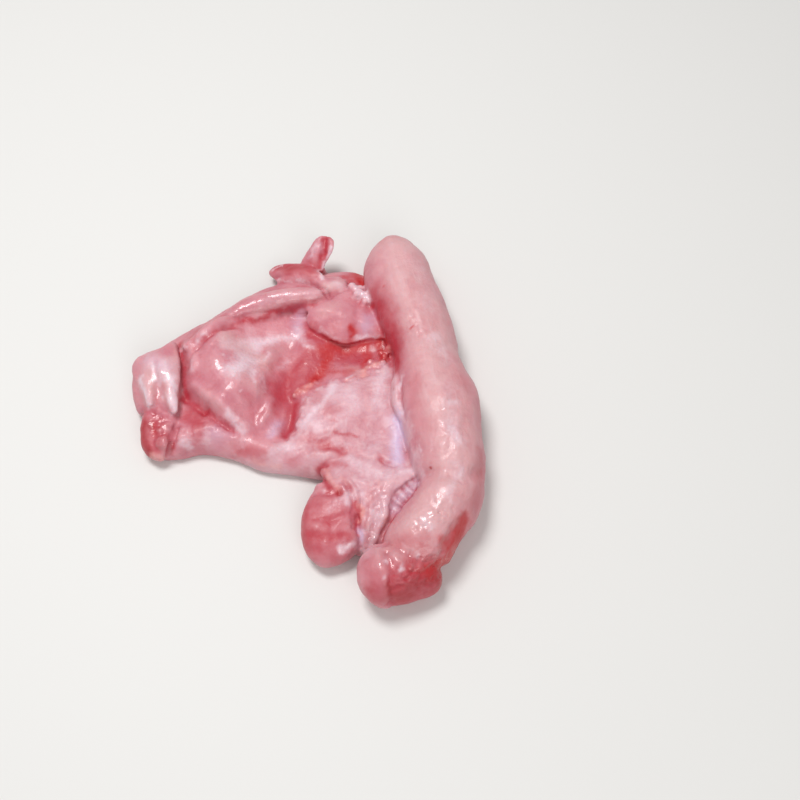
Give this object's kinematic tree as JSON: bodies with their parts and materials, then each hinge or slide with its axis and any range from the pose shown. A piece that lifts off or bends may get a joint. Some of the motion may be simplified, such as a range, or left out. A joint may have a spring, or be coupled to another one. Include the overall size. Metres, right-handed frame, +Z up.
{
  "type": "boneless rabbit meat",
  "caption": "Raw boneless rabbit meat: an opened-out, boned leg lying flat, with the long round loin muscle still joined along its right side.",
  "frame": {"origin": "middle of the bounding box, on the flat underside that lies on the table", "axes": "+Z up; +Y away from the viewer, roughly along the loin; +X to the viewer's right, from the opened leg to the loin"},
  "size_m": [0.1466, 0.1692, 0.0301],
  "materials": {
    "raw_meat": "soft, moist and glossy raw meat, pale pink with blood-red and silvery areas"
  },
  "bodies": {
    "root": {"boneless_rabbit_meat": "raw_meat"}
  },
  "joints": []
}
